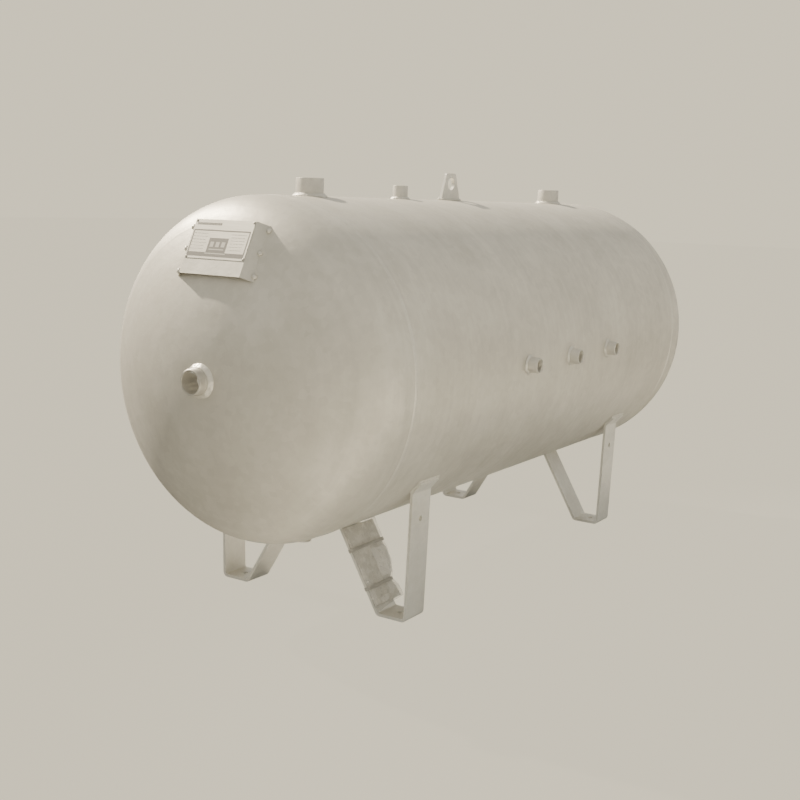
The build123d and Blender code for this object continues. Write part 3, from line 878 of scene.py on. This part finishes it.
sheet_of_film = add_node(
    tree,
    "ShaderNodeBsdfPrincipled",
    {
        "Base Color": film_tone.outputs[2],
        "Roughness": 0.2,
        "Alpha": film_cover.outputs["Result"],
        "Normal": film_relief.outputs[0],
    },
)
add_node(tree, "ShaderNodeOutputMaterial", {"Surface": sheet_of_film.outputs[0]})
settle(bag, film, "document_paper", "document_pouch")


def paper(name, page, print_tone, row_scale):
    """Uncoated paper with soft grey rows of print, none of them words.

    It looks quite matt, with faint stains 40 mm across. Its real fibres are a tenth of a
    millimetre wide and are drawn at 2 mm. The wave repeats each 0.314 / row_scale metres."""
    material, tree = start_material(name)
    place = add_node(tree, "ShaderNodeTexCoord").outputs["Object"]
    fibre = add_node(tree, "ShaderNodeTexNoise", {"Vector": place, "Scale": 420, "Detail": 3})
    stain = add_node(tree, "ShaderNodeTexNoise", {"Vector": place, "Scale": 26, "Detail": 4})
    laid = add_node(tree, "ShaderNodeMapping", {"Vector": place, "Rotation": (brace_lean, 0, 0)})
    lines = add_node(
        tree,
        "ShaderNodeTexWave",
        {"Vector": laid.outputs[0], "Scale": row_scale, "Distortion": 0.6, "Detail": 0},
        wave_type="BANDS",
        bands_direction="Z",
    )
    blocks = add_node(tree, "ShaderNodeTexNoise", {"Vector": laid.outputs[0], "Scale": 55, "Detail": 1})
    inked = add_node(
        tree, "ShaderNodeMapRange", {"Value": lines.outputs["Fac"], "From Min": 0.55, "From Max": 0.8}
    )
    part = add_node(
        tree, "ShaderNodeMapRange", {"Value": blocks.outputs["Fac"], "From Min": 0.46, "From Max": 0.54}
    )
    share = add_node(tree, "ShaderNodeMath", {0: inked.outputs[0], 1: part.outputs[0]}, operation="MULTIPLY")
    sheet_tone = add_node(
        tree,
        "ShaderNodeMix",
        {"Factor": stain.outputs["Fac"], 6: linear(page), 7: linear("#e8e5dc")},
        data_type="RGBA",
    )
    colour = add_node(
        tree,
        "ShaderNodeMix",
        {"Factor": share.outputs[0], 6: sheet_tone.outputs[2], 7: linear(print_tone)},
        data_type="RGBA",
    )
    tooth = add_node(
        tree, "ShaderNodeBump", {"Height": fibre.outputs["Fac"], "Strength": 0.3, "Distance": 0.0002}
    )
    page_face = add_node(
        tree,
        "ShaderNodeBsdfPrincipled",
        {"Base Color": colour.outputs[2], "Roughness": 0.85, "Normal": tooth.outputs[0]},
    )
    add_node(tree, "ShaderNodeOutputMaterial", {"Surface": page_face.outputs[0]})
    return material


def slip_in(name, left, foot, head, inset, lift, thick, leaves, material):
    """Folded leaves cut to the bag's outline, each smaller than the last and bowed with the bag."""
    step_in, bow_rise, wave_rise, wave_turn = 0.0008, 0.0009, 0.0005, 120
    made = []
    for leaf in range(leaves):
        bpy.ops.object.select_all(action="DESELECT")
        bpy.ops.mesh.primitive_grid_add(x_subdivisions=16, y_subdivisions=30, size=1, location=(0, 0, 0))
        page = bpy.context.object
        for vertex in page.data.vertices:
            across, along = vertex.co.x + 0.5, vertex.co.y + 0.5
            up_brace = foot + step_in * leaf + (head - foot - 2 * step_in * leaf) * along
            right = edge_at(right_edge, up_brace) - inset - step_in * leaf
            bow = math.sin(across * math.pi) * bow_rise + wave_rise * math.sin(up_brace * wave_turn + leaf)
            vertex.co = (left + (right - left) * across, up_brace, lift + thick * leaf + bow)
        leaf_wall = page.modifiers.new("leaf_wall", "SOLIDIFY")
        leaf_wall.thickness = thick * 0.8
        pick(page)
        bpy.ops.object.modifier_apply(modifier="leaf_wall")
        made.append(page)
    papers = join_parts(made)
    papers.name = name
    put(papers, brace_place)
    bpy.ops.object.shade_smooth_by_angle(angle=math.radians(35))
    settle(papers, material, "document_paper")


booklet_paper = paper("folded_booklet_paper", "#e6e3da", "#b6b2a8", 130)
label_paper = paper("pale_label_paper", "#fffefa", "#e4e1d8", 90)
slip_in("folded_booklet", -0.0415, 0.019, pouch_top - 0.002, 0.002, 0.0035, 0.0013, 3, booklet_paper)
slip_in("folded_card", 0.024, 0.080, 0.152, 0.003, 0.0085, 0.0008, 1, label_paper)

# ------------------------------------------------------------------ cable ties
# Two black nylon ties, dulled by weather, go round the pouch and the brace. Each has fine teeth,
# a moulded lock under the brace and a cut tail.
# Sun-bleached nylon: chalky grey in patches of 8 mm over the black, with a dull gloss. The teeth
# are 1.3 mm apart.
tie_nylon, tree = start_material("weathered_black_nylon")
place = add_node(tree, "ShaderNodeTexCoord").outputs["Object"]
chalk = add_node(tree, "ShaderNodeTexNoise", {"Vector": place, "Scale": 120, "Detail": 4})
tie_tone = add_node(
    tree,
    "ShaderNodeMix",
    {"Factor": chalk.outputs["Fac"], 6: linear("#9a978f"), 7: linear("#b9b6ae")},
    data_type="RGBA",
)
laid = add_node(tree, "ShaderNodeMapping", {"Vector": place, "Scale": (1, 0, 0)})
teeth = add_node(
    tree, "ShaderNodeTexWave", {"Vector": laid.outputs[0], "Scale": 240}, wave_type="BANDS", bands_direction="X"
)
tie_relief = add_node(
    tree, "ShaderNodeBump", {"Height": teeth.outputs["Fac"], "Strength": 0.3, "Distance": 0.0003}
)
nylon = add_node(
    tree,
    "ShaderNodeBsdfPrincipled",
    {"Base Color": tie_tone.outputs[2], "Roughness": 0.48, "Normal": tie_relief.outputs[0]},
)
add_node(tree, "ShaderNodeOutputMaterial", {"Surface": nylon.outputs[0]})
tie_wide, tie_thick = 0.0085, 0.0013


def wrap_tie(node, height, right):
    """A flat strap round the bag and the bar, with its lock and tail."""
    top, back, bar_edge = bag_high + 0.0012, -bar_thick - 0.0004, 0.0408
    route = [
        (pouch_left - 0.0005, bag_low),
        (-bar_edge, back),
        (bar_edge, back),
        (right, bag_low + 0.001),
        (right - 0.001, top - 0.002),
        (right - 0.012, top + 0.0006),
        (0.0, top + 0.0012),
        (pouch_left + 0.008, top + 0.0004),
        (pouch_left - 0.0005, top - 0.003),
    ]
    bpy.ops.object.select_all(action="DESELECT")
    bpy.ops.mesh.primitive_circle_add(vertices=len(route), radius=1, fill_type="NOTHING")
    strap = bpy.context.object
    for vertex, (across, out) in zip(strap.data.vertices, route):
        vertex.co = (across, 0, out)
    bpy.ops.object.mode_set(mode="EDIT")
    bpy.ops.mesh.select_all(action="SELECT")
    bpy.ops.mesh.bevel(offset=0.003, segments=4, affect="VERTICES")
    bpy.ops.mesh.select_all(action="SELECT")
    bpy.ops.transform.translate(value=(0, -tie_wide / 2, 0))
    bpy.ops.mesh.extrude_edges_move(TRANSFORM_OT_translate={"value": (0, tie_wide, 0)})
    bpy.ops.mesh.select_all(action="SELECT")
    bpy.ops.mesh.normals_make_consistent(inside=False)
    bpy.ops.object.mode_set(mode="OBJECT")
    wall = strap.modifiers.new("wall", "SOLIDIFY")
    wall.thickness, wall.offset = tie_thick, 1
    soft = strap.modifiers.new("soft", "BEVEL")
    soft.width, soft.segments, soft.angle_limit = 0.0003, 2, math.radians(50)
    pick(strap)
    bpy.ops.object.modifier_apply(modifier="wall")
    bpy.ops.object.modifier_apply(modifier="soft")
    parts = [strap]
    lock_block = ((0.0110, 0.0090, 0.0052), (0.006, 0, back - tie_thick - 0.0026))
    cut_tail = ((0.0016, 0.0044, 0.0050), (0.009, 0, back - tie_thick - 0.0028))
    for size, at in (lock_block, cut_tail):
        bpy.ops.object.select_all(action="DESELECT")
        bpy.ops.mesh.primitive_cube_add(size=1)
        lock = bpy.context.object
        lock.scale, lock.location = size, at
        bpy.ops.object.transform_apply(location=True, rotation=True, scale=True)
        bpy.ops.object.mode_set(mode="EDIT")
        bpy.ops.mesh.select_all(action="SELECT")
        bpy.ops.mesh.bevel(offset=0.0006, segments=2)
        bpy.ops.object.mode_set(mode="OBJECT")
        parts.append(lock)
    join_parts(parts)
    strap.name = f"{node}_strap"
    put(strap, brace_place @ Matrix.Translation((0, height, 0)))
    bpy.ops.object.shade_smooth_by_angle(angle=math.radians(35))
    settle(strap, tie_nylon, "black_nylon", node)


wrap_tie("cable_tie_upper", upper_tie, 0.087)
wrap_tie("cable_tie_lower", lower_tie, 0.057)
